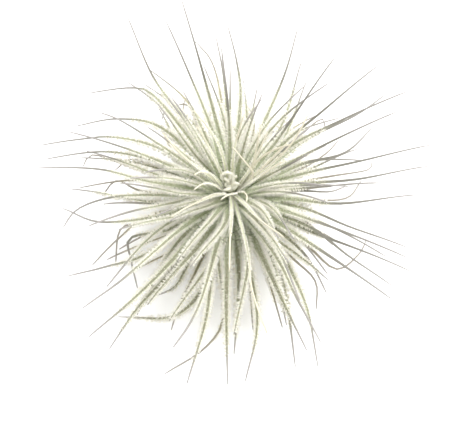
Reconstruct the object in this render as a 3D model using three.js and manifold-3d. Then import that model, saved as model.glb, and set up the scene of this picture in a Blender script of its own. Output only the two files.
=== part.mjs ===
// An air plant: a round rosette of narrow, channelled leaves with long silver hairs, on a short woody stem.
// Millimetres, +Z up. The origin is the middle of the stem's flat foot, which the plant stands on.
// The leaves of one age and colour are one body, grown from one ring of leaf bases round the stem.
// The hairs are left to the finer model: these blades have the leaves' real paths, lengths and widths.

import * as THREE from 'three';
import { mergeVertices } from 'three/addons/utils/BufferGeometryUtils.js';
import Module from 'manifold-3d';

const wasm = await Module();
wasm.setup();

// Stem: a flat foot, a lip just above it, a waist, then the stub's top, where the thin core starts
const FOOT_RADIUS = 6;
const LIP_RADIUS = 6.3;
const LIP_HEIGHT = 1.2;
const WAIST_RADIUS = 5.1;
const WAIST_HEIGHT = 4;
const STUB_TOP = 8;
const STUB_RADIUS = 4.6;
const CORE_RADIUS = 3.2;
const CORE_TOP = 24.6;
const CORE_TOP_RADIUS = 1.6;
const STEM_SIDES = 20;

// Leaf blades: a wide sheath at the root, then a tapering blade, and a thread for a tip
const SHEATH_WIDTH = 5.5;
const SHEATH_SHARE = 0.1;
const BLADE_TAPER = 1.8;
const BLADE_DEPTH = 0.95;
const DEPTH_LOSS = 0.5;
const THREAD_WIDTH = 0.7;
const THREAD_DEPTH = 0.64;
const CHANNEL_SHARE = 0.28;
const STEEP = 0.02;

// A leaf is drawn in this many steps, and more for each place it passes beyond the first two
const LEAF_STEPS = 6;
const STEPS_PER_TURN = 2;

// Rings of leaf bases, stacked up the stem: the gap to the core, and how far the two edges are drawn in
const RING_GAP = 0.3;
const RING_SIDES = 24;
const RING_LOW_INSET = 1.2;
const RING_HIGH_INSET = 1.6;

// Filler leaves: each takes the roomiest of its draws round the next golden angle, and bends at half its reach
const GOLDEN_ANGLE = 137.5;
const AGE_TURN = 50;
const SEEDS_PER_AGE = 100;
const DRAWS = 10;
const DRAW_TURN = 26;
const BEND_AT = 0.5;
const CROWDED_WITHIN = 13;
const CLEARANCE_SAMPLES = 20;

// One row for each age of leaf: its ring, its leaves' root and width, how far out they stay wide, how they bow,
// how many fillers the rule adds and where, its colour
const AGES = {
  old: {
    ring: [8.3, 12, 7.2], root: [4.6, 10.2], width: 2.6, fullness: 1.5, arch: 6,
    fillers: 14, reach: [46, 64], tip: [3, 9], bend: 30, colour: 0xb9b09a, roughness: 0.95,
  },
  lower: {
    ring: [12.3, 17, 7.4], root: [4.8, 14.6], width: 3.3, fullness: 2, arch: 7,
    fillers: 25, reach: [54, 74], tip: [10, 24], bend: 14, colour: 0xb4b89c, roughness: 0.9,
  },
  upper: {
    ring: [17.3, 21.9, 6.2], root: [3.9, 19.6], width: 3, fullness: 1.3, arch: 5.5,
    fillers: 26, reach: [34, 54], tip: [38, 56], bend: 12, colour: 0xc8ccb2, roughness: 0.9,
  },
  young: {
    ring: [22.2, 25, 4.9], root: [3.1, 23.6], width: 2.3, fullness: 1.3, arch: 4.5,
    fillers: 9, reach: [17, 27], tip: [44, 58], bend: 30, colour: 0xdedfc8, roughness: 0.9,
  },
};

// Leaves that show one by one in the photograph, read off it by hand: the height of the tip, then where the leaf
// passes as [azimuth in degrees, distance from the axis]. Azimuth 0 is +X, and 90 is +Y, away from the viewer.
const SEEN_LEAVES = {
  old: [
    // Far side
    [8, [95, 50], [97, 73], [101, 88]],
    [8, [111, 42], [113, 53], [122, 56], [126, 54]],
    [6, [112, 37], [112, 55], [118, 81]],
    [8, [72, 30], [76, 43], [83, 53]],
    [6, [45, 38], [46, 60], [41, 58]],
    // Left side
    [8, [157, 32], [155, 49], [162, 55]],
    [6, [175, 38], [168, 52], [175, 58]],
    [10, [162, 45], [160, 66], [165, 69]],
    [5, [166, 37], [172, 69]],
    [5, [193, 36], [200, 52], [205, 67]],
    [4, [197, 37], [195, 50], [209, 58]],
    // Near side
    [3, [267, 52], [261, 68], [250, 82]],
    [3, [246, 39], [245, 53], [246, 63]],
    [5, [313, 37], [314, 52], [307, 61]],
    // Right side
    [8, [325, 37], [323, 56], [335, 61], [343, 62]],
    [6, [25, 34], [29, 49], [34, 60]],
    [6, [14, 36], [15, 63], [19, 68]],
    [4, [359, 31], [362, 51], [373, 61]],
  ],
  lower: [
    // Far side
    [30, [128, 36], [129, 55], [133, 63], [145, 77]],
    [32, [84, 40], [87, 57], [91, 79]],
    [26, [93, 47], [95, 77]],
    [28, [65, 34], [66, 60], [69, 87]],
    // Left side
    [30, [138, 39], [148, 57], [158, 73]],
    [36, [151, 33], [159, 54], [165, 67], [170, 83]],
    [24, [158, 29], [163, 55], [170, 82]],
    [22, [186, 31], [186, 52], [189, 67], [194, 74]],
    [22, [204, 33], [197, 58], [187, 73]],
    [14, [194, 27], [183, 56]],
    [8, [213, 31], [205, 48], [214, 52], [225, 57]],
    [14, [220, 45], [213, 64], [208, 79]],
    // Near side
    [22, [234, 44], [232, 67], [229, 89]],
    [14, [236, 46], [234, 66], [234, 86]],
    [4, [255, 30], [254, 47], [245, 61], [227, 71]],
    [6, [240, 35], [240, 47], [233, 54]],
    [16, [255, 29], [260, 59], [258, 87]],
    [14, [267, 33], [268, 59], [269, 85]],
    [12, [282, 38], [280, 62], [274, 83]],
    [5, [275, 36], [273, 52], [271, 69]],
    [4, [301, 34], [296, 53], [290, 79]],
    [14, [293, 33], [293, 58], [294, 77]],
    [12, [307, 32], [301, 60], [295, 85]],
    // Right side
    [8, [319, 31], [318, 45], [314, 59]],
    [20, [331, 38], [327, 59], [327, 80]],
    [16, [330, 39], [332, 55], [335, 84]],
    [22, [343, 31], [339, 54], [340, 79]],
    [26, [349, 26], [349, 49], [357, 81]],
    [24, [35, 37], [32, 65], [34, 85]],
    [20, [21, 32], [19, 53], [27, 72]],
    [30, [2, 30], [1, 55], [5, 85]],
    [18, [358, 26], [359, 42], [364, 50]],
  ],
  upper: [
    // Far side
    [72, [105, 20], [107, 38], [108, 67]],
    [68, [112, 22], [115, 41], [116, 62]],
    [52, [127, 33], [128, 55], [123, 83]],
    [74, [93, 20], [96, 39]],
    // Left side
    [62, [164, 31], [163, 48], [164, 56]],
    [50, [169, 35], [169, 52], [169, 69]],
    [48, [185, 34], [181, 55], [182, 81]],
    [46, [207, 33], [206, 46], [206, 64]],
    // Near side
    [44, [228, 32], [229, 64], [227, 86]],
    [34, [258, 50], [256, 67], [253, 79]],
    [32, [298, 39], [296, 59], [296, 81]],
    [40, [299, 37], [295, 64]],
    // Right side
    [36, [317, 39], [318, 62], [319, 85]],
    [46, [327, 34], [328, 57], [329, 81]],
    [48, [347, 34], [351, 62]],
    [52, [2, 29], [2, 54], [4, 82]],
    [60, [12, 30], [13, 50], [14, 70]],
    [52, [30, 29], [25, 51], [23, 81]],
    [56, [34, 30], [33, 47], [34, 75]],
    [72, [33, 24], [40, 55]],
    [44, [8, 23], [14, 41]],
  ],
  young: [
    // Left side
    [60, [177, 19], [166, 29]],
    [48, [228, 19], [226, 35]],
    // Near side
    [56, [270, 20], [269, 38], [269, 52]],
    [52, [280, 37], [278, 57], [280, 77]],
    [64, [291, 30], [296, 46]],
    [44, [304, 8], [297, 14], [290, 18]],
    // Right side
    [56, [358, 13], [370, 23]],
    [58, [11, 9], [29, 17]],
    [70, [357, 16], [367, 25], [379, 33]],
    [60, [4, 7], [16, 13], [4, 24]],
    [52, [339, 8], [356, 9], [380, 5], [447, 5]],
  ],
};

// Heart leaves stand on a small cushion in the middle and hook over: root azimuth, lean towards the far side in
// degrees, straight length, then the azimuth that the hook faces, its radius and how far it turns in degrees
const HEART_LEAVES = [
  { root: 320, lean: 16, rise: 6.5, faces: 180, hook: 2.6, turn: 220 },
  { root: 250, lean: -30, rise: 3, faces: 200, hook: 1.4, turn: 180 },
  { root: 60, lean: 12, rise: 2, faces: 20, hook: 1.8, turn: 100 },
  { root: 160, lean: 4, rise: 2, faces: 160, hook: 2, turn: 90 },
  { root: 10, lean: -14, rise: 2.5, faces: 340, hook: 1.8, turn: 110 },
  { root: 110, lean: 16, rise: 2, faces: 80, hook: 2.2, turn: 80 },
];
const HEART = { rootRadius: 1.3, rootHeight: 26.4 };
const CUSHION_PROFILE = [[0, 25.3], [1.9, 25.3], [2.2, 26], [1.5, 27], [0, 27.3]];
const HEART_LEAF_WIDTH = 1.5;
const HEART_LEAF_TAPER = 0.45;
const HEART_HOOK_STEPS = 5;
const HEART_LEAF_SIDES = 5;
const HEART_COLOUR = 0xeeeedd;
const HEART_ROUGHNESS = 0.95;
const STEM_COLOUR = 0x7a6248;
const STEM_ROUGHNESS = 0.9;

const MERGE_WITHIN = 1e-4;

// A level direction that no heart leaf runs along
const LEVEL = new THREE.Vector3(1, 0.3, 0);

const radians = THREE.MathUtils.degToRad;

// Repeatable random numbers from 0 to 1
function seededRandom(seed) {
  let state = (seed * 7919 + 12345) >>> 0;
  return () => {
    state = (Math.imul(1664525, state) + 1013904223) >>> 0;
    return state / 4294967296;
  };
}

function between([low, high], share) {
  return low + (high - low) * share;
}

function range(count) {
  return [...Array(count).keys()];
}

// A leaf's middle line: its plan runs smoothly through the places it passes, and its height bows up on the way
function leafLine(age, tipHeight, passes, steps) {
  const [rootRadius, rootHeight] = AGES[age].root;
  const stations = [[passes[0][0], rootRadius], ...passes].map(([azimuth, distance]) => {
    const angle = radians(azimuth);
    return new THREE.Vector3(distance * Math.cos(angle), distance * Math.sin(angle), 0);
  });
  const plan = new THREE.CatmullRomCurve3(stations, false, 'catmullrom', 0.5).getSpacedPoints(steps);
  return plan.map((point, i) => {
    const share = i / steps;
    const bow = 4 * AGES[age].arch * share * (1 - share);
    return point.setZ(rootHeight + (tipHeight - rootHeight) * share + bow);
  });
}

function widthAlong(share, { width, fullness }) {
  const left = Math.pow(1 - Math.pow(share, fullness), BLADE_TAPER);
  const blade = THREAD_WIDTH + (width - THREAD_WIDTH) * left;
  const sheath = share < SHEATH_SHARE ? (SHEATH_WIDTH - blade) * (1 - share / SHEATH_SHARE) : 0;
  return blade + sheath;
}

function depthAlong(share) {
  return Math.max(THREAD_DEPTH, BLADE_DEPTH * (1 - DEPTH_LOSS * share));
}

function directionAt(line, i) {
  return line[Math.min(i + 1, line.length - 1)].clone().sub(line[Math.max(i - 1, 0)]).normalize();
}

// A closed blade round a line: four corners a step, with the upper face sunk to a channel and a keel below
function bladeSolid(line, widthAt) {
  const corners = [];
  const last = line.length - 1;
  line.forEach((point, i) => {
    const along = directionAt(line, i);
    const heading = Math.hypot(along.x, along.y) > STEEP
      ? new THREE.Vector3(-along.y, along.x, 0).normalize()
      : new THREE.Vector3(0, 1, 0);
    const upward = new THREE.Vector3().crossVectors(along, heading);
    const share = i / last;
    const half = widthAt(share) / 2;
    const depth = depthAlong(share);
    const at = (side, up) => point.clone().addScaledVector(heading, side).addScaledVector(upward, up);
    corners.push(at(half, depth / 2), at(0, depth / 2 - CHANNEL_SHARE * depth), at(-half, depth / 2));
    corners.push(at(0, -depth / 2 - CHANNEL_SHARE * depth));
  });
  const end = last * 4;
  const ends = [[0, 2, 1], [0, 3, 2], [end, end + 1, end + 2], [end, end + 2, end + 3]];
  return solidFrom(corners, [...ringSkin(last, 4), ...ends].flat());
}

// The triangles that join each ring of corners along a line to the next
function ringSkin(steps, sides) {
  return range(steps * sides).flatMap((a) => {
    const b = a - a % sides + (a + 1) % sides;
    return [[a, b, b + sides], [a, b + sides, a + sides]];
  });
}

function solidFrom(points, triangles) {
  const vertProperties = new Float32Array(points.flatMap((p) => [p.x, p.y, p.z]));
  return new wasm.Manifold(new wasm.Mesh({ numProp: 3, vertProperties, triVerts: new Uint32Array(triangles) }));
}

// A closed solid of revolution from (radius, height) pairs
function turnedSolid(profile, sides) {
  const geometry = new THREE.LatheGeometry(profile.map(([r, z]) => new THREE.Vector2(r, z)), sides);
  geometry.deleteAttribute('normal');
  geometry.deleteAttribute('uv');
  geometry.rotateX(Math.PI / 2);
  const closed = mergeVertices(geometry, MERGE_WITHIN);
  const position = closed.attributes.position;
  const points = [];
  for (let i = 0; i < position.count; i += 1) {
    points.push(new THREE.Vector3().fromBufferAttribute(position, i));
  }
  const triangles = [];
  for (let i = 0; i < closed.index.count; i += 3) {
    const [a, b, c] = [closed.index.getX(i), closed.index.getX(i + 1), closed.index.getX(i + 2)];
    if (a !== b && b !== c && c !== a) triangles.push(a, b, c);
  }
  return solidFrom(points, triangles);
}

function coreRadiusAt(height) {
  const share = (height - STUB_TOP) / (CORE_TOP - STUB_TOP);
  return CORE_RADIUS + (CORE_TOP_RADIUS - CORE_RADIUS) * share;
}

function fuse(solids) {
  return wasm.Manifold.union(solids);
}

function meshOf(name, solid, colour, roughness) {
  const { vertProperties, triVerts } = solid.getMesh();
  const geometry = new THREE.BufferGeometry();
  geometry.setAttribute('position', new THREE.BufferAttribute(vertProperties, 3));
  geometry.setIndex(new THREE.BufferAttribute(triVerts, 1));
  const material = new THREE.MeshStandardMaterial({ color: colour, roughness, metalness: 0, flatShading: true });
  const mesh = new THREE.Mesh(geometry, material);
  mesh.name = name;
  return mesh;
}

// The stub that was broken off its branch, and the thin core that runs up inside the leaf bases
function stem() {
  const profile = [
    [0, 0], [FOOT_RADIUS, 0], [LIP_RADIUS, LIP_HEIGHT], [WAIST_RADIUS, WAIST_HEIGHT], [STUB_RADIUS, STUB_TOP],
    [CORE_RADIUS, STUB_TOP], [CORE_TOP_RADIUS, CORE_TOP], [0, CORE_TOP],
  ];
  return meshOf('stem', turnedSolid(profile, STEM_SIDES), STEM_COLOUR, STEM_ROUGHNESS);
}

function ringOfBases(age) {
  const [low, high, radius] = AGES[age].ring;
  const middle = (low + high) / 2;
  const bore = coreRadiusAt(low) + RING_GAP;
  return turnedSolid([
    [bore, low], [radius - RING_LOW_INSET, low], [radius, middle], [radius - RING_HIGH_INSET, high],
    [bore, high], [bore, low],
  ], RING_SIDES);
}

// The least distance between two leaves outside the crowded middle
function gapBetween(line, other) {
  let least = Infinity;
  for (const a of line) {
    if (Math.hypot(a.x, a.y) < CROWDED_WITHIN) continue;
    for (const b of other) least = Math.min(least, a.distanceTo(b));
  }
  return least;
}

// Every leaf: the ones seen in the photograph, then fillers, each the roomiest of its draws
function allLeaves() {
  const leaves = [];
  const add = (age, tip, passes) => {
    leaves.push({ age, tip, passes, samples: leafLine(age, tip, passes, CLEARANCE_SAMPLES) });
  };
  for (const [age, rows] of Object.entries(SEEN_LEAVES)) {
    for (const [tip, ...passes] of rows) add(age, tip, passes);
  }
  Object.entries(AGES).forEach(([age, kind], ageIndex) => {
    for (let i = 0; i < kind.fillers; i += 1) {
      const random = seededRandom(SEEDS_PER_AGE * (ageIndex + 1) + i);
      let best = null;
      for (let draw = 0; draw < DRAWS; draw += 1) {
        const azimuth = i * GOLDEN_ANGLE + ageIndex * AGE_TURN + (random() - 0.5) * 2 * DRAW_TURN;
        const reach = between(kind.reach, random());
        const tip = between(kind.tip, random());
        const bend = (random() - 0.5) * 2 * kind.bend;
        const passes = [[azimuth, reach * BEND_AT], [azimuth + bend, reach]];
        const samples = leafLine(age, tip, passes, CLEARANCE_SAMPLES);
        const gap = Math.min(...leaves.map((leaf) => gapBetween(samples, leaf.samples)));
        if (!best || gap > best.gap) best = { gap, tip, passes };
      }
      add(age, best.tip, best.passes);
    }
  });
  return leaves;
}

function leavesOfAge(age, leaves) {
  const kind = AGES[age];
  const blades = leaves.filter((leaf) => leaf.age === age).map((leaf) => {
    const steps = LEAF_STEPS + STEPS_PER_TURN * (leaf.passes.length - 2);
    const line = leafLine(age, leaf.tip, leaf.passes, steps);
    return bladeSolid(line, (share) => widthAlong(share, kind));
  });
  return meshOf(`${age}_leaves`, fuse([ringOfBases(age), ...blades]), kind.colour, kind.roughness);
}

// A heart leaf rises along its lean, then bends round its hook in the plane of its rise and the way it faces
function heartLine({ root, lean, rise, faces, hook, turn }) {
  const rootAngle = radians(root);
  const start = new THREE.Vector3(
    HEART.rootRadius * Math.cos(rootAngle), HEART.rootRadius * Math.sin(rootAngle), HEART.rootHeight,
  );
  const up = new THREE.Vector3(0, Math.sin(radians(lean)), Math.cos(radians(lean)));
  const facing = new THREE.Vector3(Math.cos(radians(faces)), Math.sin(radians(faces)), 0);
  const side = facing.addScaledVector(up, -facing.dot(up)).normalize();
  const line = [start, start.clone().addScaledVector(up, rise / 2)];
  const shoulder = start.clone().addScaledVector(up, rise);
  for (let i = 0; i <= HEART_HOOK_STEPS; i += 1) {
    const angle = radians(turn) * i / HEART_HOOK_STEPS;
    line.push(shoulder.clone()
      .addScaledVector(side, hook * (1 - Math.cos(angle)))
      .addScaledVector(up, hook * Math.sin(angle)));
  }
  return line;
}

// A heart leaf is rolled up, so it is a tapering rod
function rolledLeaf(line) {
  const last = line.length - 1;
  const sides = HEART_LEAF_SIDES;
  const corners = line.flatMap((point, i) => {
    const along = directionAt(line, i);
    const across = LEVEL.clone().cross(along).normalize();
    const other = new THREE.Vector3().crossVectors(along, across);
    const radius = HEART_LEAF_WIDTH / 2 * (1 - HEART_LEAF_TAPER * i / last);
    return range(sides).map((side) => {
      const angle = side / sides * 2 * Math.PI;
      return point.clone()
        .addScaledVector(across, radius * Math.cos(angle))
        .addScaledVector(other, radius * Math.sin(angle));
    });
  });
  const skin = ringSkin(last, sides);
  const ends = range(sides - 2).flatMap((i) => [
    [0, i + 2, i + 1],
    [last * sides, last * sides + i + 1, last * sides + i + 2],
  ]);
  return solidFrom(corners, [...skin, ...ends].flat());
}

function heartLeaves() {
  const cushion = turnedSolid(CUSHION_PROFILE, RING_SIDES);
  const hooks = HEART_LEAVES.map((leaf) => rolledLeaf(heartLine(leaf)));
  return meshOf('heart_leaves', fuse([cushion, ...hooks]), HEART_COLOUR, HEART_ROUGHNESS);
}

const plant = new THREE.Group();
plant.name = 'air_plant';
const leaves = allLeaves();
plant.add(stem());
for (const age of Object.keys(AGES)) plant.add(leavesOfAge(age, leaves));
plant.add(heartLeaves());

export default plant;
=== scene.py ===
# An air plant: a round rosette of narrow, channelled leaves with long silver hairs, on a short woody stem.
# Metres, +Z up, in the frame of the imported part. Each leaf runs along the same line as in the part's solids,
# worked out here once more, so that each fine leaf lies where the plain one that it replaces does.

import math

import bpy
import numpy as np
from mathutils import Matrix, Vector


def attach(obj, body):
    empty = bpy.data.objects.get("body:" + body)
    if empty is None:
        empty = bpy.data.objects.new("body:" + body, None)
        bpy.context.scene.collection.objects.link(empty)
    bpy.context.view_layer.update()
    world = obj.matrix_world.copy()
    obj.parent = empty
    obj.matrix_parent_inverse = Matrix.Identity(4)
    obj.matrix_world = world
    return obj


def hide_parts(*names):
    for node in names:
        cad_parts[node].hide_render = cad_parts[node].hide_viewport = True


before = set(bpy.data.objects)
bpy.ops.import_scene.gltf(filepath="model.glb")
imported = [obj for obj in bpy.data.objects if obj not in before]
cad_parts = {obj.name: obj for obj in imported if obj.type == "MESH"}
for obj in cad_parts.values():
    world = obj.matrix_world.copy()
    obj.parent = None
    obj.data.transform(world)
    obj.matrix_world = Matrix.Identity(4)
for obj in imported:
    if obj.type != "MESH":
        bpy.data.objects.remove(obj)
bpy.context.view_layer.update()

MM = 0.001

# How the leaves of each age lie and look, in millimetres and degrees, or as a share of the way to the tip:
# - root: its distance from the axis, and its height; arch: how far the middle of a leaf bows up
# - fillers: how many the rule adds; reach, tip, bend: how far out and how high they end, and how they swerve
# - width: of the blade; fullness: how far out it stays wide; bald: where its bald tip starts. The second
#   number holds for leaves that point to the viewer, and for the width also for those that point away
# - hair, hairs_per_mm: how long the hairs are, and how many there are
# - roll: how far a blade rolls over; sheath: how wide it is at the stem
# - hairier_back: how much further out a leaf that points away is hairy
# - green_hairs: how far out hairs may be greenish
AGES = {
    "old": {
        "root": (4.6, 10.2), "arch": 6, "fillers": 14, "reach": (46, 64), "tip": (3, 9), "bend": 30,
        "width": (2.0, 2.4), "fullness": (1.5, 1.8), "bald": (0.62, 0.75), "hair": 1.3, "hairs_per_mm": 18,
        "roll": 30, "sheath": 5.6, "hairier_back": 0.12, "green_hairs": 0.42,
    },
    "lower": {
        "root": (4.8, 14.6), "arch": 7, "fillers": 25, "reach": (54, 74), "tip": (10, 24), "bend": 14,
        "width": (2.6, 3.3), "fullness": (1.4, 2.6), "bald": (0.6, 0.88), "hair": 1.9, "hairs_per_mm": 32,
        "roll": 16, "sheath": 5.6, "hairier_back": 0.08, "green_hairs": 0.42,
    },
    "upper": {
        "root": (3.9, 19.6), "arch": 5.5, "fillers": 26, "reach": (34, 54), "tip": (38, 56), "bend": 12,
        "width": (2.6, 3.2), "fullness": (1.3, 2.1), "bald": (0.6, 0.82), "hair": 1.7, "hairs_per_mm": 34,
        "roll": 18, "sheath": 5.0, "hairier_back": 0, "green_hairs": 0.42,
    },
    "young": {
        "root": (3.1, 23.6), "arch": 4.5, "fillers": 9, "reach": (17, 27), "tip": (44, 58), "bend": 30,
        "width": (1.8, 1.2), "fullness": (1.3, 1.4), "bald": (0.6, 0.66), "hair": 0.75, "hairs_per_mm": 32,
        "roll": 20, "sheath": 3.4, "hairier_back": 0, "green_hairs": 0.1,
    },
}

# A leaf's sheath: how far below the root and how much nearer to the axis it starts, and points of its line
SHEATH_DROP = 4.5
SHEATH_INSET = 1.2
SHEATH_POINTS = 5

# The rule for fillers: each next one is a golden angle on, give or take a turn, and the roomiest of its draws
GOLDEN_ANGLE = 137.5
AGE_TURN = 50
SEEDS_PER_AGE = 100
DRAWS = 10
DRAW_TURN = 26
BEND_AT = 0.5
CROWDED_WITHIN = 13
CLEARANCE_SAMPLES = 20
PLAN_SAMPLES = 200

# Leaves that show one by one in the photograph: the height of the tip, then where the leaf passes as
# (azimuth, distance from the axis). Azimuth 0 is +X, and 90 is +Y, away from the viewer.
SEEN_LEAVES = {
    "old": [
        # Far side
        (8, (95, 50), (97, 73), (101, 88)),
        (8, (111, 42), (113, 53), (122, 56), (126, 54)),
        (6, (112, 37), (112, 55), (118, 81)),
        (8, (72, 30), (76, 43), (83, 53)),
        (6, (45, 38), (46, 60), (41, 58)),
        # Left side
        (8, (157, 32), (155, 49), (162, 55)),
        (6, (175, 38), (168, 52), (175, 58)),
        (10, (162, 45), (160, 66), (165, 69)),
        (5, (166, 37), (172, 69)),
        (5, (193, 36), (200, 52), (205, 67)),
        (4, (197, 37), (195, 50), (209, 58)),
        # Near side
        (3, (267, 52), (261, 68), (250, 82)),
        (3, (246, 39), (245, 53), (246, 63)),
        (5, (313, 37), (314, 52), (307, 61)),
        # Right side
        (8, (325, 37), (323, 56), (335, 61), (343, 62)),
        (6, (25, 34), (29, 49), (34, 60)),
        (6, (14, 36), (15, 63), (19, 68)),
        (4, (359, 31), (362, 51), (373, 61)),
    ],
    "lower": [
        # Far side
        (30, (128, 36), (129, 55), (133, 63), (145, 77)),
        (32, (84, 40), (87, 57), (91, 79)),
        (26, (93, 47), (95, 77)),
        (28, (65, 34), (66, 60), (69, 87)),
        # Left side
        (30, (138, 39), (148, 57), (158, 73)),
        (36, (151, 33), (159, 54), (165, 67), (170, 83)),
        (24, (158, 29), (163, 55), (170, 82)),
        (22, (186, 31), (186, 52), (189, 67), (194, 74)),
        (22, (204, 33), (197, 58), (187, 73)),
        (14, (194, 27), (183, 56)),
        (8, (213, 31), (205, 48), (214, 52), (225, 57)),
        (14, (220, 45), (213, 64), (208, 79)),
        # Near side
        (22, (234, 44), (232, 67), (229, 89)),
        (14, (236, 46), (234, 66), (234, 86)),
        (4, (255, 30), (254, 47), (245, 61), (227, 71)),
        (6, (240, 35), (240, 47), (233, 54)),
        (16, (255, 29), (260, 59), (258, 87)),
        (14, (267, 33), (268, 59), (269, 85)),
        (12, (282, 38), (280, 62), (274, 83)),
        (5, (275, 36), (273, 52), (271, 69)),
        (4, (301, 34), (296, 53), (290, 79)),
        (14, (293, 33), (293, 58), (294, 77)),
        (12, (307, 32), (301, 60), (295, 85)),
        # Right side
        (8, (319, 31), (318, 45), (314, 59)),
        (20, (331, 38), (327, 59), (327, 80)),
        (16, (330, 39), (332, 55), (335, 84)),
        (22, (343, 31), (339, 54), (340, 79)),
        (26, (349, 26), (349, 49), (357, 81)),
        (24, (35, 37), (32, 65), (34, 85)),
        (20, (21, 32), (19, 53), (27, 72)),
        (30, (2, 30), (1, 55), (5, 85)),
        (18, (358, 26), (359, 42), (364, 50)),
    ],
    "upper": [
        # Far side
        (72, (105, 20), (107, 38), (108, 67)),
        (68, (112, 22), (115, 41), (116, 62)),
        (52, (127, 33), (128, 55), (123, 83)),
        (74, (93, 20), (96, 39)),
        # Left side
        (62, (164, 31), (163, 48), (164, 56)),
        (50, (169, 35), (169, 52), (169, 69)),
        (48, (185, 34), (181, 55), (182, 81)),
        (46, (207, 33), (206, 46), (206, 64)),
        # Near side
        (44, (228, 32), (229, 64), (227, 86)),
        (34, (258, 50), (256, 67), (253, 79)),
        (32, (298, 39), (296, 59), (296, 81)),
        (40, (299, 37), (295, 64)),
        # Right side
        (36, (317, 39), (318, 62), (319, 85)),
        (46, (327, 34), (328, 57), (329, 81)),
        (48, (347, 34), (351, 62)),
        (52, (2, 29), (2, 54), (4, 82)),
        (60, (12, 30), (13, 50), (14, 70)),
        (52, (30, 29), (25, 51), (23, 81)),
        (56, (34, 30), (33, 47), (34, 75)),
        (72, (33, 24), (40, 55)),
        (44, (8, 23), (14, 41)),
    ],
    "young": [
        # Left side
        (60, (177, 19), (166, 29)),
        (48, (228, 19), (226, 35)),
        # Near side
        (56, (270, 20), (269, 38), (269, 52)),
        (52, (280, 37), (278, 57), (280, 77)),
        (64, (291, 30), (296, 46)),
        (44, (304, 8), (297, 14), (290, 18)),
        # Right side
        (56, (358, 13), (370, 23)),
        (58, (11, 9), (29, 17)),
        (70, (357, 16), (367, 25), (379, 33)),
        (60, (4, 7), (16, 13), (4, 24)),
        (52, (339, 8), (356, 9), (380, 5), (447, 5)),
    ],
}

# Heart leaves: root azimuth, lean towards the far side, straight length, then the azimuth that the hook
# faces, its radius and how far it turns
HEART_LEAVES = [
    {"root": 320, "lean": 16, "rise": 6.5, "faces": 180, "hook": 2.6, "turn": 220},
    {"root": 250, "lean": -30, "rise": 3, "faces": 200, "hook": 1.4, "turn": 180},
    {"root": 60, "lean": 12, "rise": 2, "faces": 20, "hook": 1.8, "turn": 100},
    {"root": 160, "lean": 4, "rise": 2, "faces": 160, "hook": 2, "turn": 90},
    {"root": 10, "lean": -14, "rise": 2.5, "faces": 340, "hook": 1.8, "turn": 110},
    {"root": 110, "lean": 16, "rise": 2, "faces": 80, "hook": 2.2, "turn": 80},
]
HEART_ROOT_RADIUS = 1.3
HEART_ROOT_HEIGHT = 26.4
HEART_RINGS = 24
HEART_SIDES = 10
HEART_HOOK_STEPS = 16

# A rolled leaf's width and how much of it tapers off, how far its foot flares and over which share of the
# leaf, and the share that its blunt tip takes. The last number keeps the very end from closing to a point
HEART_LEAF_WIDTH = 1.35
HEART_LEAF_TAPER = 0.5
HEART_FLARE = 1.1
HEART_FLARE_SHARE = 0.2
HEART_TIP_SHARE = 0.06
HEART_TIP_LEAST = 0.02

# Its felt: the size and number of the hairs, where they start, and how their lengths and their lean to the
# tip vary
HEART_HAIR = 0.6
HEART_HAIR_WIDTH = 0.17
HEART_HAIRS_PER_MM = 70
HEART_HAIRS_FROM = 0.04
HEART_HAIR_LENGTHS = (0.5, 1.1)
HEART_HAIR_LEAN = 0.35
HEART_HAIR_LEAN_VARIES = 0.35

# The stem's outline as (height, radius)
STEM_PROFILE = [(0, 6), (1.2, 6.3), (4, 5.1), (8, 4.6), (9, 3.2), (24.6, 1.6)]
STEM_SIDES = 120
STEM_RINGS = 60

# The height from which leaves cover the stem, and in how many millimetres they come to do so
COVERED_FROM = 9
COVERED_FADE = 4

# The stem's surface, as shares of its radius: how far it lies inside the outline, its ridges of fibres as
# (size, how many go round, twist per millimetre, start), and its scars, which wave on their way round
STEM_INSET = 0.03
STEM_RIDGES = [(0.03, 11, 0, 1.3), (0.02, 23, 0.4, 0), (0.015, 37, 0, 0)]
SCAR_SIZE = 0.02
SCAR_SPACING = 1.4
SCAR_WAVE = 1.6
SCAR_WAVES = 3

# The dried scales on the stem
SCALES = 46
SCALE_HEIGHTS = (0.2, 7.6)
SCALE_WIDTH = 4.6
SCALE_HEIGHT = 3.2
SCALE_RADIUS = 6
SCALE_THICKNESS = 0.22
SCALE_STEPS = 8
SCALE_TURN_VARIES = 12
SCALE_STRETCHES = (0.8, 1.2)

# The form of one: how much of its height the tears in its upper edge take, and how much lower and how much
# nearer to the stem its sides are than its middle. Then how much it narrows and how far it spreads on its way
# up, each with the power that it goes by
SCALE_TORN = 0.22
SCALE_TEARS = 5
SCALE_TEARS_START = 0.6
SCALE_SIDES_DOWN = 0.3
SCALE_SIDES_IN = 0.3
SCALE_NARROWS = (0.75, 1.8)
SCALE_SPREADS = (0.9, 1.7)

# Fine blades: rings along a leaf, drawn together near its base by a power, points round each ring, and steps
# of the line that the blade follows
BLADE_RINGS = 26
BLADE_RINGS_POWER = 1.25
BLADE_SIDES = 8
LINE_STEPS = 44

# The thread that a blade narrows to: its width, how much that tapers, the share of the leaf that its point
# takes, and how blunt that ends
THREAD_WIDTH = 0.88
THREAD_TAPER = 0.2
THREAD_POINT = 0.03
THREAD_BLUNT = 0.6

# The powers by which a blade narrows, and its sheath, and the share of the leaf that the sheath takes
BLADE_TAPER = 2.3
SHEATH_TAPER = 1.5
SHEATH_SHARE = 0.1

# The section: how deep the underside and the channel are as shares of half the width, what the sheath adds
# to that, and what the thread adds, which is round. Then where the thread starts, and how soon it is round
UNDERSIDE = (0.62, -0.12, 0.38)
CHANNEL = (0.3, 0.1, -1.3)
THREAD_FROM = 0.55
THREAD_FADE = 0.25

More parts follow.
